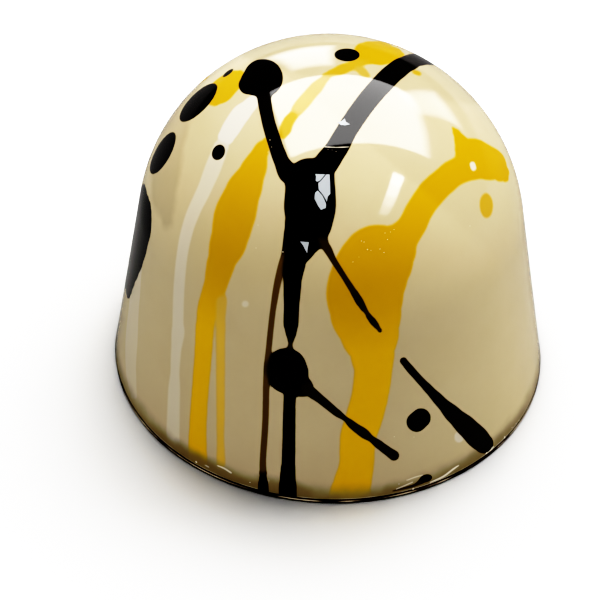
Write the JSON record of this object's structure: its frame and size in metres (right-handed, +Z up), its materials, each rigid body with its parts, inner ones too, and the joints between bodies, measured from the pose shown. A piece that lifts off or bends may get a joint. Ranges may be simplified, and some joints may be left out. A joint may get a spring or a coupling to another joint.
{
  "type": "chocolate praline",
  "caption": "Tall domed moulded chocolate praline with a glossy ivory coat, black and yellow splashes and a thin dark closing layer at the foot.",
  "frame": {"origin": "centre of the flat underside, where the praline stands", "axes": "+Z up from the underside to the crown; -Y towards the side that the picture shows; X across it"},
  "size_m": [0.029, 0.029, 0.0238],
  "materials": {
    "ivory_coat": "glossy ivory cocoa butter with flush black and yellow splashes; plastic stands in for chocolate",
    "dark_chocolate": "satin dark chocolate; plastic stands in for chocolate"
  },
  "bodies": {
    "root": {"dome": "ivory_coat", "closing_layer": "dark_chocolate"}
  },
  "joints": []
}
